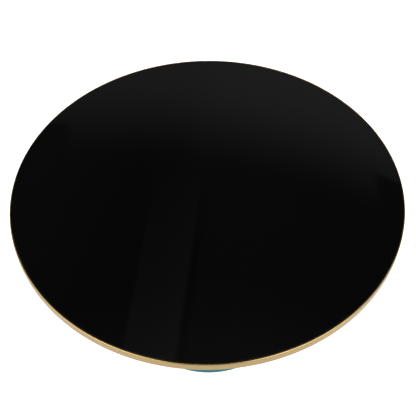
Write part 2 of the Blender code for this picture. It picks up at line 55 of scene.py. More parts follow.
# The camera's angles are in degrees, and its lens and sensor in millimetres
CAMERA_DISTANCE = 3.75  # from the top's centre, in radii of the top
CAMERA_ELEVATION = 49.35  # of the camera as seen from the top's centre
CAMERA_PITCH = 50.975  # how far down it looks
CAMERA_PAN = 0.083  # how far to the right it looks
CAMERA_ROLL = -0.914
CAMERA_LENS = 63.335
CAMERA_SENSOR = 36.0


def span(node):
    """Outer radius, lowest and highest z of a CAD node that is centred on the axis."""
    low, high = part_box(node)
    return (high.x - low.x) / 2, low.z, high.z


# ---------------------------------------------------------------- node materials


def wire(tree, socket, value):
    """Feeds a socket from another socket, or sets it to a plain number, vector or colour."""
    if isinstance(value, bpy.types.NodeSocket):
        tree.links.new(value, socket)
    else:
        socket.default_value = value


def maths(tree, operation, *values):
    node = tree.nodes.new("ShaderNodeMath")
    node.operation = operation
    for socket, value in zip(node.inputs, values):
        wire(tree, socket, value)
    return node.outputs[0]


def smooth_step(tree, value, start, end, low=0.0, high=1.0):
    """Goes smoothly from low to high while value goes from start to end."""
    node = tree.nodes.new("ShaderNodeMapRange")
    node.interpolation_type = "SMOOTHSTEP"
    settings = {"Value": value, "From Min": start, "From Max": end, "To Min": low, "To Max": high}
    for name, setting in settings.items():
        wire(tree, node.inputs[name], setting)
    return node.outputs["Result"]


def rgba(colour):
    """Adds alpha to a plain colour, and passes a socket on as it is."""
    return colour if isinstance(colour, bpy.types.NodeSocket) else (*colour, 1.0)


class Finish:
    """A procedural material: a Principled shader with short ways to add the nodes behind it."""

    def __init__(self, name, **sockets):
        self.material = bpy.data.materials.new(name)
        self.material.use_nodes = True
        self.tree = self.material.node_tree
        self.shader = self.tree.nodes["Principled BSDF"]
        for socket, value in sockets.items():
            self.set(socket.replace("_", " "), value)
        self.place = self.tree.nodes.new("ShaderNodeTexCoord").outputs["Object"]

    def set(self, socket, value):
        wire(self.tree, self.shader.inputs[socket], value)

    def ring_place(self, along, across):
        """A place that runs round the axis: it varies slowly along a turned line and quickly across it."""
        parts = self.tree.nodes.new("ShaderNodeSeparateXYZ")
        wire(self.tree, parts.inputs[0], self.place)
        x, y, z = parts.outputs
        squares = [maths(self.tree, "MULTIPLY", part, part) for part in (x, y)]
        radius = maths(self.tree, "SQRT", maths(self.tree, "ADD", *squares))
        radius = maths(self.tree, "MAXIMUM", radius, 1e-6)
        place = self.tree.nodes.new("ShaderNodeCombineXYZ")
        for socket, part in zip(place.inputs, (x, y)):
            round_axis = maths(self.tree, "DIVIDE", part, radius)
            wire(self.tree, socket, maths(self.tree, "MULTIPLY", round_axis, along))
        outwards = maths(self.tree, "ADD", radius, z)
        wire(self.tree, place.inputs[2], maths(self.tree, "MULTIPLY", outwards, across))
        return place.outputs[0]

    def noise(self, scale, detail=3.0, roughness=0.5, place=None):
        node = self.tree.nodes.new("ShaderNodeTexNoise")
        wire(self.tree, node.inputs["Vector"], place or self.place)
        node.inputs["Scale"].default_value = scale
        node.inputs["Detail"].default_value = detail
        node.inputs["Roughness"].default_value = roughness
        return node.outputs["Fac"]

    def cells(self, scale):
        node = self.tree.nodes.new("ShaderNodeTexVoronoi")
        wire(self.tree, node.inputs["Vector"], self.place)
        node.inputs["Scale"].default_value = scale
        return node.outputs["Distance"]

    def remap(self, value, start, end, low, high):
        return smooth_step(self.tree, value, start, end, low, high)

    def colour(self, factor, first, second):
        """Mixes two linear colours by a factor from 0 to 1."""
        node = self.tree.nodes.new("ShaderNodeMix")
        node.data_type = "RGBA"
        wire(self.tree, node.inputs[0], factor)
        wire(self.tree, node.inputs[6], rgba(first))
        wire(self.tree, node.inputs[7], rgba(second))
        return node.outputs[2]

    def bumps(self, *layers):
        """Adds bump layers of (height, distance in metres), the first one lowest."""
        below = None
        for height, distance in layers:
            node = self.tree.nodes.new("ShaderNodeBump")
            node.inputs["Distance"].default_value = distance
            wire(self.tree, node.inputs["Height"], height)
            if below is not None:
                wire(self.tree, node.inputs["Normal"], below)
            below = node.outputs["Normal"]
        self.set("Normal", below)

    def brushed_round(self, amount):
        """Stretches highlights across the turned lines."""
        tangent = self.tree.nodes.new("ShaderNodeTangent")
        tangent.direction_type = "RADIAL"
        tangent.axis = "Z"
        self.set("Tangent", tangent.outputs[0])
        self.shader.inputs["Anisotropic"].default_value = amount
        self.shader.inputs["Anisotropic Rotation"].default_value = 0.25


def black_glass():
    """Polished float glass over black paint: almost no variation but a trace of handling."""
    made = Finish("black_glass", IOR=1.5)
    made.set("Base Color", made.colour(made.noise(14), (0.0003, 0.0003, 0.0003), (0.0005, 0.0005, 0.0005)))
    handling = made.remap(made.noise(22, 5, 0.6), 0.35, 0.75, 0.008, 0.028)
    made.set("Roughness", handling)
    return made.material


def back_paint():
    """Satin black enamel on the glass's back, with the orange peel of a sprayed coat."""
    made = Finish("back_paint", IOR=1.5)
    made.set("Base Color", made.colour(made.noise(60), (0.008, 0.008, 0.009), (0.014, 0.014, 0.015)))
    made.set("Roughness", made.remap(made.noise(300, 4), 0.3, 0.7, 0.32, 0.46))
    made.bumps((made.noise(700, 2), 0.00004))
    return made.material


def turned_metal(name, dark, light, roughness, lines, depth, stretch):
    """Metal with fine lines round the axis, from turning or brushing.

    roughness is its lowest and highest value, lines is roughly their number to the metre, depth is theirs in
    metres, and stretch is how far highlights are drawn out across them.
    """
    made = Finish(name, Metallic=1.0)
    fine = made.noise(1.0, 2, 0.6, made.ring_place(3.0, lines))
    broad = made.noise(1.0, 3, 0.6, made.ring_place(6.0, lines / 7))
    tone = maths(made.tree, "MULTIPLY_ADD", fine, 0.65, maths(made.tree, "MULTIPLY", broad, 0.35))
    made.set("Base Color", made.colour(made.remap(tone, 0.3, 0.7, 0.0, 1.0), dark, light))
    made.set("Roughness", made.remap(broad, 0.3, 0.7, *roughness))
    made.bumps((tone, depth))
    made.brushed_round(stretch)
    return made.material


def gold_anodised():
    """Brushed gold under the clear glassy layer of its anodising."""
    dark = (0.45, 0.295, 0.090)
    light = (0.56, 0.370, 0.128)
    gold = turned_metal("gold_aluminium", dark, light, (0.20, 0.29), lines=7000.0, depth=0.000003, stretch=0.6)
    sockets = gold.node_tree.nodes["Principled BSDF"].inputs
    sockets["Coat Weight"].default_value = 0.5
    sockets["Coat IOR"].default_value = 1.65
    sockets["Coat Roughness"].default_value = 0.12
    return gold


def ground_steel():
    dark = (0.46, 0.46, 0.48)
    light = (0.58, 0.58, 0.59)
    return turned_metal("ground_steel", dark, light, (0.14, 0.24), lines=16000.0, depth=0.000002, stretch=0.4)


def turned_aluminium():
    dark = (0.40, 0.40, 0.41)
    light = (0.54, 0.54, 0.55)
    return turned_metal("aluminium", dark, light, (0.24, 0.34), lines=8000.0, depth=0.000004, stretch=0.55)


def ball_steel():
    """Lapped bearing steel under a film of grease."""
    made = Finish("ball_steel", Metallic=1.0)
    made.set("Base Color", made.colour(made.noise(900), (0.55, 0.55, 0.57), (0.64, 0.63, 0.61)))
    made.set("Roughness", made.remap(made.noise(1500, 3), 0.35, 0.7, 0.04, 0.12))
    return made.material


def zinc_plate():
    """Bright zinc with the faint blue and yellow of its passivation."""
    made = Finish("zinc_steel", Metallic=1.0)
    blue = (0.50, 0.53, 0.58)
    yellow = (0.62, 0.60, 0.53)
    tint = made.colour(made.remap(made.noise(260, 3), 0.35, 0.65, 0.0, 1.0), blue, yellow)
    worn = made.remap(made.noise(1100, 4, 0.65), 0.52, 0.72, 0.0, 0.6)
    made.set("Base Color", made.colour(worn, tint, (0.66, 0.66, 0.65)))
    made.set("Roughness", made.remap(made.noise(700, 4), 0.3, 0.7, 0.26, 0.42))
    made.bumps((made.noise(2600, 2), 0.000012))
    return made.material


def teal_enamel():
    """Baked gloss enamel on a casting: a tinted coat with orange peel over the metal's soft unevenness."""
    made = Finish("teal_enamel", IOR=1.5, Specular_IOR_Level=0.12)
    made.shader.inputs["Coat Weight"].default_value = 0.2
    made.shader.inputs["Coat Roughness"].default_value = 0.07
    made.shader.inputs["Coat IOR"].default_value = 1.5
    deep = (0.004, 0.170, 0.200)
    main = (0.005, 0.194, 0.226)
    pale = (0.008, 0.214, 0.248)
    drift = made.colour(made.remap(made.noise(18, 4), 0.3, 0.7, 0.0, 1.0), deep, main)
    speck = made.remap(made.noise(1300, 3, 0.7), 0.60, 0.74, 0.0, 0.55)
    made.set("Base Color", made.colour(speck, drift, pale))
    made.set("Roughness", made.remap(made.noise(220, 4), 0.3, 0.7, 0.26, 0.38))
    made.bumps((made.noise(70, 3), 0.00011), (made.noise(620, 2), 0.000022))
    return made.material


def bare_casting():
    """Machined aluminium where the casting is bored for its bearings."""
    dark = (0.44, 0.44, 0.45)
    light = (0.60, 0.60, 0.60)
    return turned_metal("bare_casting", dark, light, (0.24, 0.36), lines=5000.0, depth=0.000006, stretch=0.5)


def moulded_rubber():
    made = Finish("black_rubber", Specular_IOR_Level=0.35)
    dust = made.remap(made.noise(160, 5, 0.7), 0.48, 0.78, 0.0, 0.5)
    made.set("Base Color", made.colour(dust, (0.011, 0.011, 0.012), (0.036, 0.035, 0.033)))
    made.set("Roughness", made.remap(made.noise(500, 3), 0.3, 0.7, 0.66, 0.86))
    made.bumps((made.cells(2400), 0.00003), (made.noise(900, 3), 0.00002))
    return made.material


def closed_foam():
    """Closed-cell foam tape."""
    made = Finish("grey_foam", Specular_IOR_Level=0.3)
    walls = made.remap(made.cells(3200), 0.1, 0.6, 0.0, 1.0)
    made.set("Base Color", made.colour(walls, (0.030, 0.030, 0.034), (0.075, 0.075, 0.080)))
    made.set("Roughness", made.remap(walls, 0.0, 1.0, 0.95, 0.80))
    made.bumps((made.cells(3200), 0.00010))
    return made.material


def powder_coat():
    """Fine-textured black powder coat."""
    made = Finish("powder_coat", IOR=1.5, Specular_IOR_Level=0.3)
    grain = made.noise(1500, 3, 0.6)
    peaks = made.remap(grain, 0.4, 0.65, 0.0, 1.0)
    made.set("Base Color", made.colour(peaks, (0.012, 0.012, 0.013), (0.030, 0.030, 0.032)))
    made.set("Roughness", made.remap(grain, 0.3, 0.7, 0.42, 0.60))
    made.bumps((grain, 0.00009))
    return made.material


def black_oxide():
    """Oiled black finish on spring steel, rubbed thin in places."""
    made = Finish("black_oxide", Metallic=0.85)
    rubbed = made.remap(made.noise(420, 5, 0.7), 0.55, 0.78, 0.0, 0.8)
    made.set("Base Color", made.colour(rubbed, (0.045, 0.043, 0.042), (0.20, 0.19, 0.18)))
    made.set("Roughness", made.remap(made.noise(800, 3), 0.3, 0.7, 0.30, 0.46))
    made.bumps((made.noise(2200, 2), 0.00001))
    return made.material


def cage_brass():
    dark = (0.46, 0.31, 0.10)
    light = (0.60, 0.43, 0.17)
    return turned_metal("brass", dark, light, (0.26, 0.38), lines=9000.0, depth=0.000004, stretch=0.3)


def pale_floor():
    """Seamless pale paper that is lit until it is almost white. It can be seen through from below."""
    made = Finish("pale_floor", Roughness=0.9, Specular_IOR_Level=0.1)
    made.set("Base Color", made.colour(made.noise(9, 4), (0.78, 0.78, 0.78), (0.82, 0.82, 0.82)))
    made.set("Emission Color", (1.0, 1.0, 1.0, 1.0))
    seen = made.tree.nodes.new("ShaderNodeLightPath").outputs["Is Camera Ray"]
    made.set("Emission Strength", maths(made.tree, "MULTIPLY", seen, FLOOR_GLOW))
    from_below = made.tree.nodes.new("ShaderNodeNewGeometry").outputs["Backfacing"]
    clear = made.tree.nodes.new("ShaderNodeBsdfTransparent").outputs[0]
    mix = made.tree.nodes.new("ShaderNodeMixShader")
    wire(made.tree, mix.inputs[0], from_below)
    wire(made.tree, mix.inputs[1], made.shader.outputs[0])
    wire(made.tree, mix.inputs[2], clear)
    wire(made.tree, made.tree.nodes["Material Output"].inputs["Surface"], mix.outputs[0])
    return made.material


# ---------------------------------------------------------------- outlines


def outline(*corners, turn_deg=10.0, support=0.4):
    """(radius, z) points of a closed outline whose corners are (radius, z) or (radius, z, fillet).

    A point just past each end of a fillet keeps the flat next to it flat in smooth shading.
    """
    points = []
    count = len(corners)
    for i, corner in enumerate(corners):
        here = Vector(corner[:2])
        fillet = corner[2] if len(corner) == 3 else 0
        if not fillet:
            points.append(tuple(here))
            continue
        to_before = Vector(corners[i - 1][:2]) - here
        to_after = Vector(corners[(i + 1) % count][:2]) - here
        before = to_before.normalized()
        after = to_after.normalized()
        opening = before.angle(after)
        reach = fillet / math.tan(opening / 2)
        centre = here + (before + after).normalized() * fillet / math.sin(opening / 2)
        start = here + before * reach
        end = here + after * reach
        turn = (start - centre).angle_signed(end - centre)
        steps = max(2, math.ceil(abs(math.degrees(turn)) / turn_deg))
        if to_before.length > reach + fillet * support:
            points.append(tuple(start + before * fillet * support))
        for k in range(steps + 1):
            points.append(tuple(centre + Matrix.Rotation(-turn * k / steps, 2) @ (start - centre)))
        if to_after.length > reach + fillet * support:
            points.append(tuple(end + after * fillet * support))
    return points


def arc(centre_r, centre_z, radius_r, radius_z, start_deg, end_deg, steps):
    """(radius, z) points along an arc of a circle or ellipse, 0 degrees pointing outwards and 90 upwards."""
    points = []
    for k in range(steps + 1):
        angle = math.radians(start_deg + (end_deg - start_deg) * k / steps)
        points.append((centre_r + radius_r * math.cos(angle), centre_z + radius_z * math.sin(angle)))
    return points


def around(count, start_deg=0.0):
    return [math.radians(start_deg) + math.tau * k / count for k in range(count)]


def circle_of(count, radius, start_deg):
    return [(radius * math.cos(a), radius * math.sin(a)) for a in around(count, start_deg)]


def regular(sides, half_flats, start_deg=0.0):
    """Corners of a regular polygon, by half its width across the flats."""
    corner = half_flats / math.cos(math.pi / sides)
    return circle_of(sides, corner, start_deg)


# ---------------------------------------------------------------- shells: (points, faces) of closed surfaces


class Thread:
    """A screw thread cut into the outline points that lie at one radius between two heights.

    share is a factor on its depth, which is less than 1 in the nut.
    """

    DEPTH = 0.54  # of the pitch
    ROWS = 8  # of outline points to each pitch
    TOUCH = 1e-7  # metres within which a point lies on the thread

    def __init__(self, radius, low, high, pitch, share=1.0):
        self.radius = radius
        self.low = low
        self.high = high
        self.pitch = pitch
        self.depth = self.DEPTH * pitch * share

    def rows(self):
        """Outline points, top to bottom, close enough together to carry the thread."""
        steps = math.ceil((self.high - self.low) / self.pitch * self.ROWS)
        return [(self.radius, self.high + (self.low - self.high) * k / steps) for k in range(steps + 1)]

    def cut(self, r, z, angle):
        if abs(r - self.radius) > self.TOUCH or not self.low - self.TOUCH <= z <= self.high + self.TOUCH:
            return r
        phase = (z / self.pitch - angle / math.tau) % 1.0
        flank = 1 - abs(2 * phase - 1)
        # Straight flanks with a flat crest and a flat root
        shape = min(1.0, max(0.0, 1.35 * flank - 0.15))
        runout = min(1.0, (z - self.low) / self.pitch, (self.high - z) / self.pitch)
        return r - self.depth * shape * max(0.0, runout)


def turned(points, steps, thread=None, open_at=None):
    """Turns an outline about Z. With open_at=(centre, width) in degrees, the ring has a butt gap there."""
    area = sum(a[0] * b[1] - b[0] * a[1] for a, b in zip(points, points[1:] + points[:1]))
    if area < 0:
        points = points[::-1]
    if open_at:
        first = math.radians(open_at[0] + open_at[1] / 2)
        angles = [first + (math.tau - math.radians(open_at[1])) * k / steps for k in range(steps + 1)]
    else:
        angles = around(steps)
    spokes = len(angles)
    made = []
    rings = []
    for r, z in points:
        on_axis = r < 1e-9
        if on_axis:
            rings.append([len(made)] * spokes)
            made.append((0.0, 0.0, z))
            continue
        rings.append(list(range(len(made), len(made) + spokes)))
        for angle in angles:
            cut = thread.cut(r, z, angle) if thread else r
            made.append((cut * math.cos(angle), cut * math.sin(angle), z))
    faces = []
    for lower, upper in zip(rings, rings[1:] + rings[:1]):
        for k in range(spokes if not open_at else spokes - 1):
            following = (k + 1) % spokes
            corners = [lower[k], lower[following], upper[following], upper[k]]
            corners = list(dict.fromkeys(corners))
            if len(corners) > 2:
                faces.append(corners)
    if open_at:
        faces.append([ring[0] for ring in rings])
        faces.append([ring[-1] for ring in reversed(rings)])
    return made, faces


def prism(corners, low, high, low_scale=1.0, high_scale=1.0):
    """An (x, y) outline, extruded upwards, with its ends scaled about the outline's own origin."""
    count = len(corners)
    area = sum(a[0] * b[1] - b[0] * a[1] for a, b in zip(corners, corners[1:] + corners[:1]))
    if area < 0:
        corners = corners[::-1]
    made = [(x * low_scale, y * low_scale, low) for x, y in corners]
    made += [(x * high_scale, y * high_scale, high) for x, y in corners]
    faces = [list(range(count - 1, -1, -1)), list(range(count, 2 * count))]
    faces += [[k, (k + 1) % count, count + (k + 1) % count, count + k] for k in range(count)]
    return made, faces


def shifted(shell, x=0.0, y=0.0, z=0.0):
    points, faces = shell
    return [(px + x, py + y, pz + z) for px, py, pz in points], faces


def moved(shell, matrix):
    points, faces = shell
    return [tuple(matrix @ Vector(p)) for p in points], faces


def joined(shells):
    points = []
    faces = []
    for more_points, more_faces in shells:
        start = len(points)
        points += more_points
        faces += [[start + k for k in face] for face in more_faces]
    return points, faces


# ---------------------------------------------------------------- pieces


def new_object(name, shell):
    points, faces = shell
    mesh = bpy.data.meshes.new(name)
    mesh.from_pydata(points, [], faces)
    mesh.validate()
    made = bpy.data.objects.new(name, mesh)
    bpy.context.scene.collection.objects.link(made)
    return made


def carve(target, shell, operation="DIFFERENCE"):
    """Cuts a shell of separate closed bodies out of the target, or joins it on, and leaves a plain mesh."""
    cutter = new_object("cutter", shell)
    step = target.modifiers.new("carve", "BOOLEAN")
    step.operation = operation
    step.solver = "EXACT"
    step.object = cutter
    graph = bpy.context.evaluated_depsgraph_get()
    carved = bpy.data.meshes.new_from_object(target.evaluated_get(graph))
    target.modifiers.clear()
    target.data = carved
    bpy.data.objects.remove(cutter)


def rounded_edges(target, width, segments=2, angle_deg=40):
    """Rounds the sharp edges of a piece."""
    step = target.modifiers.new("round", "BEVEL")
    step.width = width
    step.segments = segments
    step.limit_method = "ANGLE"
    step.angle_limit = math.radians(angle_deg)
    step.use_clamp_overlap = True
    graph = bpy.context.evaluated_depsgraph_get()
    bevelled = bpy.data.meshes.new_from_object(target.evaluated_get(graph))
    target.modifiers.clear()
    target.data = bevelled


def dress(target, node, body, slot, *materials, pick=None):
    """Finishes a piece: smooth shading with sharp corners, its materials, and its place in the frame."""
    target.data.materials.clear()
    for one in materials:
        target.data.materials.append(one)
    target.data.shade_smooth()
    target.data.set_sharp_from_angle(angle=SHARP_ANGLE)
    if pick:
        for face in target.data.polygons:
            face.material_index = pick(face)
    target.name = f"{node}_fine"
    target.data.name = target.name
    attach(target, body)
    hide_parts(node)
    return target


def glass_top(body, glass, paint):
    radius, low, high = span("glass_top")
    arris = 0.0005
    soft = 0.00015
    points = outline(
        (0, low),
        (radius - arris, low, soft),
        (radius, low + arris, soft),
        (radius, high - arris, soft),
        (radius - arris, high, soft),
        (0, high),
        turn_deg=20,
    )
    piece = new_object("glass", turned(points, 360))
    dress(piece, "glass_top", body, "black_glass", glass, paint, pick=lambda face: int(face.normal.z < -0.9))


def edge_rim(body, gold):
    """L-section hoop with a rounded lip just over the glass, and a hairline butt joint at the back."""
    radius, low, high = span("edge_rim")
    wall = 0.0009
    ledge = 0.0012
    ledge_radius = 0.138
    joint = (90.0, 0.06)  # where it is and how wide, in degrees
    points = outline(
        (ledge_radius, low, 0.0003),
        (radius, low, 0.0006),
        (radius, high, 0.0007),
        (radius - wall, high, 0.0001),
        (radius - wall, low + ledge, 0.0002),
        (ledge_radius, low + ledge, 0.0003),
        turn_deg=11,
    )
    piece = new_object("rim", turned(points, 360, open_at=joint))
    dress(piece, "edge_rim", body, "gold_aluminium", gold)


def foam_ring(node, body, foam, gap_deg):
    """A strip of foam laid round in a ring, with slightly bulged sides and a butt gap."""
    radius, low, high = span(node)
    inner = {"rim_tape": 0.139, "bond_pad": 0.052}[node]
    bulge = (high - low) * 0.3
    points = outline(
        (inner, low, bulge),
        (radius, low, bulge),
        (radius, high, bulge),
        (inner, high, bulge),
        turn_deg=30,
    )
    piece = new_object("foam", turned(points, 144, open_at=(80.0, gap_deg)))
    dress(piece, node, body, "grey_foam", foam)


HUB_SCREWS = circle_of(4, 0.0425, 45)
COVER_SCREWS = circle_of(3, 0.048, 90)
BALLS = 8
BALL_RADIUS = 0.003


def carrier_plate(body, aluminium):
    radius, low, high = span("carrier_plate")
    bore = 0.0095
    points = outline(
        (bore, low, 0.0003),
        (radius, low, 0.0006),
        (radius, high, 0.0006),
        (bore, high, 0.0003),
        turn_deg=15,
    )
    piece = new_object("plate", turned(points, 216))
    hole = prism(regular(32, 0.0026), low - PAST, high + PAST)
    carve(piece, joined(shifted(hole, x, y) for x, y in HUB_SCREWS))
    dress(piece, "carrier_plate", body, "aluminium", aluminium)


def hub(body, aluminium):
    """Flange with a sleeve down its middle for the spindle and a skirt that hangs over the bearing head."""
    radius, skirt_low, high = span("hub")
    flange = high - 0.0040
    bore_top = high - 0.0054
    ceiling = high - 0.0083
    sleeve_low = high - 0.0144
    bore = 0.00755
    sleeve = 0.0130
    bolt_hole = 0.0044
    skirt_inside = 0.0316
    skirt_outside = 0.0350
    points = outline(
        (bore, sleeve_low, 0.0003),
        (sleeve, sleeve_low, 0.0005),
        (sleeve, ceiling, 0.0015),
        (skirt_inside, ceiling, 0.0015),
        (skirt_inside, skirt_low, 0.0004),
        (skirt_outside, skirt_low, 0.0008),
        (skirt_outside, flange, 0.0030),
        (radius, flange, 0.0008),
        (radius, high, 0.0003),
        (0.0084, high),
        (bolt_hole, high - 0.0040),
        (bolt_hole, bore_top),
        (bore, bore_top, 0.0003),
    )
    piece = new_object("hub", turned(points, 144))
    hole = prism(regular(32, 0.0027), flange - PAST, high + PAST)
    carve(piece, joined(shifted(hole, x, y) for x, y in HUB_SCREWS))
    dress(piece, "hub", body, "aluminium", aluminium)


def hub_bolt(body, zinc):
    """Countersunk socket bolt."""
    _, low, high = span("hub_bolt")
    shank = 0.0040
    thread = Thread(shank, low + 0.0006, high - 0.0052, pitch=0.00125)
    points = [(0, low), (0.0034, low), (shank, low + 0.0005), *thread.rows()[::-1]]
    points += [(shank, high - 0.0045), (0.0042, high - 0.0038)]
    points += outline(
        (0.0075, high - 0.0004),
        (0.0078, high - 0.0002, 0.0001),
        (0.0074, high, 0.0002),
        (0, high),
    )
    piece = new_object("bolt", turned(points, 48, thread))
    socket = prism(regular(6, 0.0025), high - 0.0030, high + PAST)
    carve(piece, socket)
    rounded_edges(piece, 0.00008, 1, 50)
    dress(piece, "hub_bolt", body, "zinc_steel", zinc)


def hub_screws(body, zinc):
    """Button-head socket screws, heads down."""
    for k, (x, y) in enumerate(HUB_SCREWS, 1):
        node = f"hub_screw_{k}"
        low, high = (corner.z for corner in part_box(node))
        seat = low + 0.0027
        shank = 0.0025
        crown = 0.0021
        flat = 0.0026
        thread = Thread(shank, seat + 0.0006, high - 0.0003, pitch=0.0008)
        points = [(0, low), (flat, low), *arc(flat, low + crown, crown, crown, -90, 0, 8), (flat + crown, seat)]
        points += [(shank, seat), *thread.rows()[::-1], (0.0021, high), (0, high)]
        piece = new_object("screw", turned(points, 40, thread))
        socket_turn = 12 + 33 * k
        socket = prism(regular(6, 0.0015, socket_turn), low - PAST, low + 0.0016)
        drill = prism(regular(24, 0.0013), low + 0.0014, low + 0.0020, 1.0, 0.25)
        carve(piece, socket)
        carve(piece, drill)
        piece.data.transform(Matrix.Translation((x, y, 0)))
        dress(piece, node, body, "zinc_steel", zinc)


def cover_screws(body, zinc):
    """Pan-head screws with a cross recess, heads down."""
    arm_long = 0.0020
    arm_short = 0.00036
    corner = arm_short * 1.4
    cross = []
    for quarter in range(4):
        for x, y in ((arm_long, -arm_short), (arm_long, arm_short), (corner, corner)):
            cross.append(tuple(Matrix.Rotation(math.tau * quarter / 4, 2) @ Vector((x, y))))
    for k, (x, y) in enumerate(COVER_SCREWS, 1):
        node = f"cover_screw_{k}"
        low, high = (corner.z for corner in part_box(node))
        seat = low + 0.0018
        shank = 0.0019
        dome = 0.0040
        thread = Thread(shank, seat + 0.0008, high - 0.0006, pitch=0.0007)
        points = [(0, low), *arc(0, low + dome, dome, dome, -90, -45, 5)[1:], (0.0035, low + 0.0008)]
        points += [*arc(0.0031, low + 0.0013, 0.0007, 0.0005, -30, 0, 3), (0.0038, seat), (shank, seat)]
        points += [*thread.rows()[::-1], (0.0012, high), (0, high)]
        piece = new_object("screw", turned(points, 40, thread))
        turn = Matrix.Rotation(math.radians(20 + 37 * k), 4, "Z")
        carve(piece, moved(prism(cross, low - 0.0002, low + 0.0014, 1.08, 0.40), turn))
        piece.data.transform(Matrix.Translation((x, y, 0)))
        dress(piece, node, body, "zinc_steel", zinc)


def spindle(body, steel):
    """Threaded below for the nut, with a collar over the upper bearing and a hole for the hub's bolt."""
    _, low, high = span("spindle")
    screwed = 0.0060
    thread = Thread(screwed, low + 0.0014, 0.0362, pitch=0.00175)
    undercut = 0.0056
    shoulder = 0.0381
    journal = 0.00745
    collar = 0.0100
    collar_low = high - 0.0128
    collar_high = high - 0.0090
    bolt_hole = 0.0042
    points = [(0, low), (0.0050, low), (screwed, low + 0.0010), *thread.rows()[::-1]]
    points += [(undercut, 0.0366), (undercut, 0.0379)]
    points += outline(
        (0.0058, shoulder),
        (journal, shoulder, 0.0003),
        (journal, collar_low),
        (collar, collar_low, 0.0003),
        (collar, collar_high, 0.0004),
        (journal, collar_high),
        (journal, high, 0.0005),
        (bolt_hole, high, 0.0003),
        (bolt_hole, high - 0.0145),
        (0, high - 0.0160),
        (0, shoulder),
    )[:-1]
    piece = new_object("spindle", turned(points, 72, thread))
    dress(piece, "spindle", body, "steel", steel)


def plain_ring(node, body, slot, finish, inner, fillet, steps=96):
    """A washer or sleeve with rounded edges."""
    radius, low, high = span(node)
    points = outline(
        (inner, low, fillet),
        (radius, low, fillet),
        (radius, high, fillet),
        (inner, high, fillet),
        turn_deg=30,
    )
    dress(new_object("ring", turned(points, steps)), node, body, slot, finish)


def spring_washer(body, steel):
    """Dished washer whose inner edge stands higher than its outer one."""
    radius, low, high = span("spring_washer")
    inner = 0.0062
    thickness = 0.0010
    points = outline(
        (inner, high - thickness, 0.0002),
        (radius, low, 0.0002),
        (radius, low + thickness, 0.0002),
        (inner, high, 0.0002),
        turn_deg=30,
    )
    dress(new_object("washer", turned(points, 96)), "spring_washer", body, "steel", steel)


def lock_nut(body, zinc):
    """Hexagon nut, chamfered at both ends and threaded."""
    low, high = (corner.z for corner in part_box("lock_nut"))
    half_flats = 0.0095
    corner = half_flats / math.cos(math.pi / 6)
    face = half_flats * 0.97
    slope = (corner - face) * math.tan(math.radians(28))
    clear = 1e-5  # keeps the barrel's ends off the nut's faces
    wide = corner + 1e-4
    piece = new_object("nut", prism(regular(6, half_flats), low, high))
    barrel = [(0, low - clear), (face, low - clear), (wide, low + slope)]
    barrel += [(wide, high - slope), (face, high + clear), (0, high + clear)]
    carve(piece, turned(barrel, 72), "INTERSECT")
    thread = Thread(0.0062, low - PAST, high + PAST, pitch=0.00175, share=0.3)
    carve(piece, turned([(0, high + PAST), *thread.rows(), (0, low - PAST)], 48, thread))
    dress(piece, "lock_nut", body, "zinc_steel", zinc)


def bearing(prefix, turning, still, steel, zinc):
    """Rings and shields of one bearing, with raceway grooves and pressed shields."""
    _, low, high = span(f"{prefix}_outer_ring")
    centre = (low + high) / 2
    pitch = 0.0125
    groove = 0.0032
    bore = 0.0075
    outer = 0.0175
    inner_land = 0.0099
    outer_land = 0.0151
    outer_deg = math.degrees(math.acos((outer_land - pitch) / groove))
    inner_deg = math.degrees(math.acos((pitch - inner_land) / groove))
    outside = outline(
        (outer_land, low),
        (outer, low, 0.0005),
        (outer, high, 0.0005),
        (outer_land, high),
        turn_deg=18,
    )[1:-1]
    points = [
        (outer_land + 0.0003, low),
        *outside,
        (outer_land + 0.0003, high),
        (outer_land, high - 0.0003),
        *arc(pitch, centre, groove, groove, outer_deg, -outer_deg, 14),
        (outer_land, low + 0.0003),
    ]
    dress(new_object("ring", turned(points, 96)), f"{prefix}_outer_ring", still, "steel", steel)
    inside = outline(
        (inner_land, high),
        (bore, high, 0.0004),
        (bore, low, 0.0004),
        (inner_land, low),
        turn_deg=18,
    )[1:-1]
    points = [
        (inner_land, low + 0.0002),
        *arc(pitch, centre, groove, groove, 180 + inner_deg, 180 - inner_deg, 14),
        (inner_land, high - 0.0002),
        (inner_land - 0.0002, high),
        *inside,
        (inner_land - 0.0002, low),
    ]
    dress(new_object("ring", turned(points, 96)), f"{prefix}_inner_ring", turning, "steel", steel)
    for side in ("top", "bottom"):
        node = f"{prefix}_shield_{side}"
        radius, under, over = span(node)
        up = 1 if side == "top" else -1
        face, back = (over, under) if side == "top" else (under, over)
        edge = inner_land + 0.0003
        pressed = face - up * 0.0001
        points = outline(
            (edge, back),
            (edge, face, 0.0001),
            (0.0112, face, 0.0002),
            (0.0118, pressed, 0.0002),
            (0.0138, pressed, 0.0002),
            (0.0144, face, 0.0002),
            (radius, face, 0.00015),
            (radius, back),
            turn_deg=30,
        )
        dress(new_object("shield", turned(points, 96)), node, still, "zinc_steel", zinc)


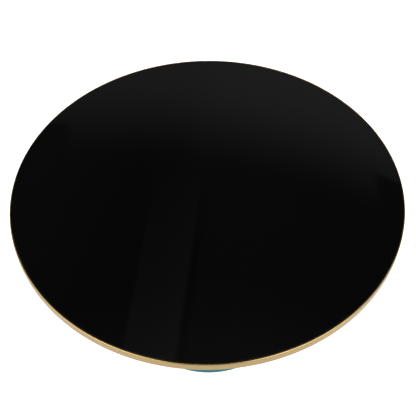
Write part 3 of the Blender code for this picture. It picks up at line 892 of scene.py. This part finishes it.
def ball_cage(prefix, body, brass, steel):
    """Brass cage with a round pocket for each ball, and its balls."""
    radius, low, high = span(f"{prefix}_ball_cage")
    centre = (low + high) / 2
    inner = 0.0113
    points = outline(
        (inner, low, 0.0003),
        (radius, low, 0.0003),
        (radius, high, 0.0003),
        (inner, high, 0.0003),
        turn_deg=30,
    )
    cage = new_object("cage", turned(points, 128))
    pocket = prism(regular(28, 0.0032), 0.0095, 0.0155)
    tilt = Matrix.Rotation(math.pi / 2, 4, "Y")
    lift = Matrix.Translation((0, 0, centre))
    pockets = [moved(pocket, lift @ Matrix.Rotation(angle, 4, "Z") @ tilt) for angle in around(BALLS)]
    carve(cage, joined(pockets))
    dress(cage, f"{prefix}_ball_cage", body, "brass", brass)
    half = BALL_RADIUS
    ball = turned([(0, -half), *arc(0, 0, half, half, -90, 90, 18)[1:-1], (0, half)], 32)
    for k in range(1, BALLS + 1):
        node = f"{prefix}_ball_{k}"
        first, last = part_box(node)
        middle = (first + last) / 2
        dress(new_object("ball", shifted(ball, *middle)), node, body, "steel", steel)


def retaining_clip(body, oxide):
    """Internal circlip, open at the front, with a rounded lug and a plier hole at each end."""
    low, high = (corner.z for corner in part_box("retaining_clip"))
    outer = 0.0185
    inner = 0.0162
    lug = 0.0138
    plier_hole = 0.0153
    front = -90
    points = arc(0, 0, outer, outer, front + 5, front + 355, 96)
    points += arc(0, 0, lug, lug, front + 354, front + 342, 6)
    points += arc(0, 0, inner, inner, front + 337, front + 23, 84)
    points += arc(0, 0, lug, lug, front + 18, front + 6, 6)
    piece = new_object("clip", prism(points, low, high))
    hole = prism(regular(20, 0.0007), low - PAST, high + PAST)
    angles = [math.radians(front + side * 12) for side in (1, -1)]
    holes = [(plier_hole * math.cos(angle), plier_hole * math.sin(angle)) for angle in angles]
    carve(piece, joined(shifted(hole, x, y) for x, y in holes))
    rounded_edges(piece, 0.00015, 2, 60)
    dress(piece, "retaining_clip", body, "black_steel", oxide)


NECK_RADIUS = 0.0245
SHOULDER_RADIUS = 0.0560  # where the sweep starts on the foot
SHOULDER_Z = 0.0142
NECK_Z = 0.0897  # where the sweep ends at the neck
TUBE_RADIUS = 0.0215  # of the bearing tube inside the casting
COVER_Z = 0.0046  # of the ledge that the bottom cover is screwed against


def sweep(inset, start_deg, end_deg, steps):
    """The pedestal's concave sweep from foot to neck, or the same curve inset into the casting."""
    width = SHOULDER_RADIUS - NECK_RADIUS + inset
    height = NECK_Z - SHOULDER_Z + inset
    return arc(SHOULDER_RADIUS, NECK_Z, width, height, start_deg, end_deg, steps)


def pedestal(body, enamel, bare):
    """Hollow casting with a bearing tube down its middle, ribs and screw bosses."""
    foot_radius, bottom, top = span("pedestal")
    ring_inside = 0.0630
    ring_outside = 0.0700
    ring_top = 0.0032
    foot = outline(
        (ring_outside, ring_top),
        (ring_outside, bottom, 0.0002),
        (foot_radius, bottom, 0.0008),
        (foot_radius, 0.0095, 0.0025),
        (0.0595, 0.0125, 0.0006),
        (0.0587, SHOULDER_Z, 0.0004),
        (SHOULDER_RADIUS, SHOULDER_Z),
        turn_deg=9,
    )
    head_radius = 0.0300
    bearing_seat = 0.0176
    clip_groove = 0.0187
    tube_bore = 0.0145
    upper_seat = 0.1295
    lower_seat = 0.0492
    tube_low = 0.0370
    head = outline(
        (NECK_RADIUS, NECK_Z),
        (NECK_RADIUS, 0.1195, 0.0100),
        (head_radius, 0.1285, 0.0060),
        (head_radius, top, 0.0012),
        (bearing_seat, top, 0.0006),
        (bearing_seat, 0.1425),
        (clip_groove, 0.1425),
        (clip_groove, 0.1407),
        (bearing_seat, 0.1407),
        (bearing_seat, upper_seat, 0.0002),
        (tube_bore, upper_seat, 0.0003),
        (tube_bore, lower_seat, 0.0003),
        (bearing_seat, lower_seat, 0.0002),
        (bearing_seat, tube_low, 0.0006),
        (TUBE_RADIUS, tube_low, 0.0008),
        (TUBE_RADIUS, 0.0500),
        turn_deg=9,
    )[1:-1]
    wall = 0.0050
    cover_ledge = 0.0550
    cover_recess = 0.0590
    cavity = sweep(wall, 205, 266, 30)
    cavity_low = cavity[-1][1]
    hollow = [(TUBE_RADIUS, cavity[0][1]), *cavity]
    hollow += outline(
        cavity[-1],
        (cover_ledge, cavity_low, 0.0008),
        (cover_ledge, COVER_Z),
        (cover_recess, COVER_Z),
        (cover_recess, bottom),
        (ring_inside, bottom, 0.0002),
        (ring_inside, ring_top),
        turn_deg=30,
    )[1:]
    piece = new_object("pedestal", turned(foot + sweep(0, 270, 180, 60)[1:] + head + hollow, 180))
    half_rib = 0.0020
    web = prism(rib_outline(), -half_rib, half_rib)
    webs = [moved(web, rib_place(angle)) for angle in around(6, 90)]
    carve(piece, joined(webs), "UNION")
    boss_top = 0.0138
    boss = turned([(0, COVER_Z), (0.0053, COVER_Z), (0.0055, boss_top), (0, boss_top)], 40)
    carve(piece, joined(shifted(boss, x, y) for x, y in COVER_SCREWS), "UNION")
    hole = turned([(0, 0.004), (0.0025, 0.004), (0.0021, 0.0050), (0.0021, 0.0114), (0, 0.0124)], 28)
    carve(piece, joined(shifted(hole, x, y) for x, y in COVER_SCREWS))

    def machined(face):
        """Bores, seats and the head's rim inside the bore's edge are bare metal."""
        r = math.hypot(face.center.x, face.center.y)
        return int(r < 0.0192 or (r < 0.0213 and face.center.z < 0.0374))

    dress(piece, "pedestal", body, "teal_enamel", enamel, bare, pick=machined)


def rib_outline():
    """A web between the bearing tube and the swept wall, as (radius, z)."""
    inside_wall = sweep(0.0025, 205, 262, 16)
    inside_tube = 0.0200
    points = [(inside_tube, 0.0400), (TUBE_RADIUS, 0.0400), (0.0240, 0.0330), (0.0320, 0.0130), (0.0370, 0.0090)]
    points += [(0.0460, 0.0075), (0.0540, 0.0075), (0.0540, 0.0115), *reversed(inside_wall)]
    points.append((inside_tube, inside_wall[0][1]))
    return points


def rib_place(angle):
    """Stands a rib's outline up in a radial plane and turns it round the axis."""
    return Matrix.Rotation(angle, 4, "Z") @ Matrix.Rotation(math.pi / 2, 4, "X")


def foot_ring(body, rubber):
    """Rubber ring with fine grooves round its underside."""
    radius, low, high = span("foot_ring")
    inner = 0.0632
    grooves = 5
    first_groove = 0.0646
    spacing = 0.00095
    groove_top = low + 0.00035
    half_mouth = 0.00022
    half_top = 0.0001
    points = outline((inner, high), (inner, low, 0.0004), (0.0642, low), turn_deg=20)[:-1]
    for k in range(grooves):
        r = first_groove + spacing * k
        points += [(r - half_mouth, low), (r - half_top, groove_top)]
        points += [(r + half_top, groove_top), (r + half_mouth, low)]
    points += outline((0.0688, low), (radius, low, 0.0004), (radius, high), turn_deg=20)[1:]
    dress(new_object("rubber", turned(points, 180)), "foot_ring", body, "black_rubber", rubber)


def bottom_cover(body, coat):
    """Pressed disc with a rounded edge, a bead pressed upwards and plain screw holes."""
    radius, low, high = span("bottom_cover")
    bead_middle = 0.0325
    rise = ((-0.0035, 0.0), (-0.0023, 0.00016), (-0.0013, 0.00040), (0.0, 0.00048))
    fall = [(-across, lift) for across, lift in reversed(rise[:-1])]
    bead = [(bead_middle + across, lift) for across, lift in (*rise, *fall)]
    points = [(0, low), *[(r, low + lift) for r, lift in bead]]
    flat = 0.04
    edge = outline((flat, low), (radius, low, 0.0005), (radius, high, 0.0005), (flat, high), turn_deg=15)
    points += edge[1:-1]
    points += [(r, high + lift) for r, lift in reversed(bead)] + [(0, high)]
    piece = new_object("cover", turned(points, 180))
    hole_radius = 0.0022
    hole = turned([(0, low - PAST), (hole_radius, low - PAST), (hole_radius, high + PAST), (0, high + PAST)], 32)
    carve(piece, joined(shifted(hole, x, y) for x, y in COVER_SCREWS))
    dress(piece, "bottom_cover", body, "black_steel", coat)


def build_pieces():
    table = "turntable"
    base = "base"
    steel = ground_steel()
    zinc = zinc_plate()
    aluminium = turned_aluminium()
    foam = closed_foam()
    brass = cage_brass()
    balls = ball_steel()
    glass_top(table, black_glass(), back_paint())
    edge_rim(table, gold_anodised())
    foam_ring("rim_tape", table, foam, 0.8)
    foam_ring("bond_pad", table, foam, 1.5)
    carrier_plate(table, aluminium)
    hub(table, aluminium)
    hub_bolt(table, zinc)
    hub_screws(table, zinc)
    spindle(table, steel)
    plain_ring("inner_spacer", table, "aluminium", aluminium, 0.0076, 0.0003)
    plain_ring("flat_washer", table, "zinc_steel", zinc, 0.0062, 0.0003)
    spring_washer(table, steel)
    lock_nut(table, zinc)
    for prefix in ("upper", "lower"):
        bearing(prefix, table, base, steel, zinc)
        ball_cage(prefix, f"{prefix}_cage", brass, balls)
    pedestal(base, teal_enamel(), bare_casting())
    foot_ring(base, moulded_rubber())
    bottom_cover(base, powder_coat())
    cover_screws(base, zinc)
    retaining_clip(base, black_oxide())


# ---------------------------------------------------------------- stage, light and camera

# The sky's functions take x, y and z, the direction in which it is seen, as a vector of length 1. Edges are given
# in the same units, so that z is the sine of the angle above the horizon. Levels are radiances.


def product(tree, first, *others):
    result = first
    for value in others:
        result = maths(tree, "MULTIPLY", result, value)
    return result


def window(tree, value, low, high, soft):
    """1 while value is between low and high, with soft ends."""
    rise = smooth_step(tree, value, low - soft, low + soft)
    fall = smooth_step(tree, value, high - soft, high + soft, 1.0, 0.0)
    return product(tree, rise, fall)


def back_panel(tree, x, y, z):
    """A large soft panel behind the object. Its top edge leans up to the right, and its ends are lower."""
    level = 0.17
    lean = 0.106
    ends_lean = 0.11
    top = smooth_step(tree, maths(tree, "MULTIPLY_ADD", x, -lean, z), 0.745, 0.655, 0.0, level)
    brighter_right = maths(tree, "MULTIPLY_ADD", x, 0.95, 0.85)
    bottom = smooth_step(tree, z, 0.50, 0.60)
    behind = smooth_step(tree, y, 0.1, 0.4)
    ends_top = smooth_step(tree, maths(tree, "MULTIPLY_ADD", x, -ends_lean, z), 0.702, 0.708, 1.0, 0.0)
    middle = window(tree, x, -0.183, 0.226, 0.008)
    return product(tree, top, brighter_right, bottom, behind, maths(tree, "MAXIMUM", ends_top, middle))


def soft_boxes(tree, x, y, z):
    """Two bright soft boxes above the camera, one to each side of it."""
    level = 3.1
    left_back = smooth_step(tree, maths(tree, "MULTIPLY_ADD", x, 0.9, y), 0.04, -0.14)
    left = product(tree, window(tree, x, -0.92, -0.25, 0.06), left_back)
    right_back = smooth_step(tree, maths(tree, "MULTIPLY_ADD", x, -0.45, y), 0.08, -0.10)
    right = product(tree, window(tree, x, 0.20, 0.76, 0.06), right_back)
    bottom = smooth_step(tree, z, 0.50, 0.62)
    return product(tree, maths(tree, "ADD", left, right), bottom, level)


def front_wall(tree, y, z):
    """A dimmer pale wall behind the camera, darker towards the horizon."""
    level = 0.60
    in_front = smooth_step(tree, y, -0.15, -0.45)
    top = smooth_step(tree, z, 0.88, 0.74, 0.0, level)
    foot = smooth_step(tree, z, 0.30, 0.50, 0.15, 1.0)
    return product(tree, in_front, top, foot)


def ceiling_lights(tree, x, y, z):
    """The dim ceiling, a narrow fitting on it with a dark gap beside it, and the room left and right of them."""
    ceiling = smooth_step(tree, z, 0.83, 0.935, 0.0, 0.062)
    # Where a direction meets a level ceiling, in units of its height: along the fitting and across it
    height = maths(tree, "MAXIMUM", z, 0.05)
    across = maths(tree, "DIVIDE", x, height)
    along = maths(tree, "DIVIDE", y, height)
    slant = 0.117
    left_of_object = 0.152
    offset = maths(tree, "ADD", maths(tree, "MULTIPLY_ADD", along, -slant, across), left_of_object)
    fitting_length = smooth_step(tree, along, 1.05, 0.35, 0.0, 0.053)
    fitting = product(tree, window(tree, offset, -0.044, 0.039, 0.004), fitting_length)
    gap_length = smooth_step(tree, along, 0.95, 0.7, 0.0, -0.014)
    gap = product(tree, window(tree, offset, 0.043, 0.054, 0.004), gap_length)
    far_left = smooth_step(tree, offset, -0.28, -0.05, 0.050, 0.036)
    right_of_fitting = smooth_step(tree, offset, -0.02, 0.05, 0.0, 0.013)
    far_right = smooth_step(tree, offset, 0.12, 0.30, 0.0, -0.006)
    return far_left, right_of_fitting, far_right, ceiling, fitting, gap


def dark_room(tree, x, y, z):
    """The studio as reflections show it: a dark room with its lights, and white below the horizon."""
    far_left, right_of_fitting, far_right, ceiling, fitting, gap = ceiling_lights(tree, x, y, z)
    panel = back_panel(tree, x, y, z)
    boxes = soft_boxes(tree, x, y, z)
    wall = front_wall(tree, y, z)
    total = far_left
    for light in (right_of_fitting, far_right, panel, ceiling, fitting, gap, boxes, wall):
        total = maths(tree, "ADD", light, total)
    ground = smooth_step(tree, z, -0.01, -0.06)
    return maths(tree, "ADD", total, ground)


def studio_sky():
    """White behind the object, soft white on matt surfaces, and the dark room in reflections."""
    world = bpy.data.worlds.new("studio")
    bpy.context.scene.world = world
    world.use_nodes = True
    tree = world.node_tree
    parts = tree.nodes.new("ShaderNodeSeparateXYZ")
    wire(tree, parts.inputs[0], tree.nodes.new("ShaderNodeTexCoord").outputs["Generated"])
    reflected = dark_room(tree, *parts.outputs)
    light_path = tree.nodes.new("ShaderNodeLightPath").outputs
    glossy = light_path["Is Glossy Ray"]
    lit = maths(tree, "MULTIPLY_ADD", glossy, maths(tree, "SUBTRACT", reflected, DIFFUSE_SKY), DIFFUSE_SKY)
    camera_ray = light_path["Is Camera Ray"]
    strength = maths(tree, "MULTIPLY_ADD", camera_ray, maths(tree, "SUBTRACT", 1.0, lit), lit)
    background = tree.nodes["Background"]
    background.inputs["Color"].default_value = (1.0, 1.0, 1.0, 1.0)
    wire(tree, background.inputs["Strength"], strength)
    world.cycles.sampling_method = "NONE"


def soft_light(name, place, size, power):
    """An area light aimed at the object's middle, which models matt surfaces and doesn't show in reflections."""
    middle = Vector((0, 0, 0.06))
    data = bpy.data.lights.new(name, "AREA")
    data.shape = "RECTANGLE"
    data.size, data.size_y = size
    data.energy = power
    lamp = bpy.data.objects.new(name, data)
    lamp.location = place
    lamp.rotation_euler = (middle - Vector(place)).to_track_quat("-Z", "Y").to_euler()
    lamp.visible_glossy = False
    bpy.context.scene.collection.objects.link(lamp)


def floor():
    """Pale ground, with an opening that the foot covers, so that light from below reaches the underside."""
    radii = (0.0722, 0.12, 0.25, 0.6, 1.4, 4.0)
    spokes = 72
    sunk = 0.0002  # how far it lies under the foot
    points = [(r * math.cos(a), r * math.sin(a), 0.0) for r in radii for a in around(spokes)]
    faces = []
    for ring in range(len(radii) - 1):
        for k in range(spokes):
            first = ring * spokes + k
            second = ring * spokes + (k + 1) % spokes
            faces.append([first, first + spokes, second + spokes, second])
    made = new_object("floor", (points, faces))
    made.data.materials.append(pale_floor())
    made.location.z = -sunk


def camera():
    """Looks down on the top from the front, a little over half a metre away."""
    top_radius, _, top = span("edge_rim")
    distance = CAMERA_DISTANCE * top_radius
    elevation = math.radians(CAMERA_ELEVATION)
    pitch = math.radians(CAMERA_PITCH)
    pan = math.radians(CAMERA_PAN)
    roll = math.radians(CAMERA_ROLL)
    forward = Vector((math.sin(pan) * math.cos(pitch), math.cos(pan) * math.cos(pitch), -math.sin(pitch)))
    level = Vector((math.cos(pan), -math.sin(pan), 0))
    up = level.cross(forward)
    right = math.cos(roll) * level + math.sin(roll) * up
    up = math.cos(roll) * up - math.sin(roll) * level
    data = bpy.data.cameras.new("camera")
    data.lens = CAMERA_LENS
    data.sensor_width = CAMERA_SENSOR
    made = bpy.data.objects.new("camera", data)
    pose = Matrix((right, up, -forward)).transposed().to_4x4()
    pose.translation = (0, -distance * math.cos(elevation), top + distance * math.sin(elevation))
    made.matrix_world = pose
    bpy.context.scene.collection.objects.link(made)
    bpy.context.scene.camera = made


camera()
build_pieces()
floor()
studio_sky()
soft_light("key", place=(-0.9, -1.0, 1.5), size=(1.2, 0.9), power=10.0)
soft_light("fill", place=(1.2, -0.5, 0.9), size=(0.9, 0.9), power=4.0)
bpy.context.scene.view_settings.view_transform = "Standard"
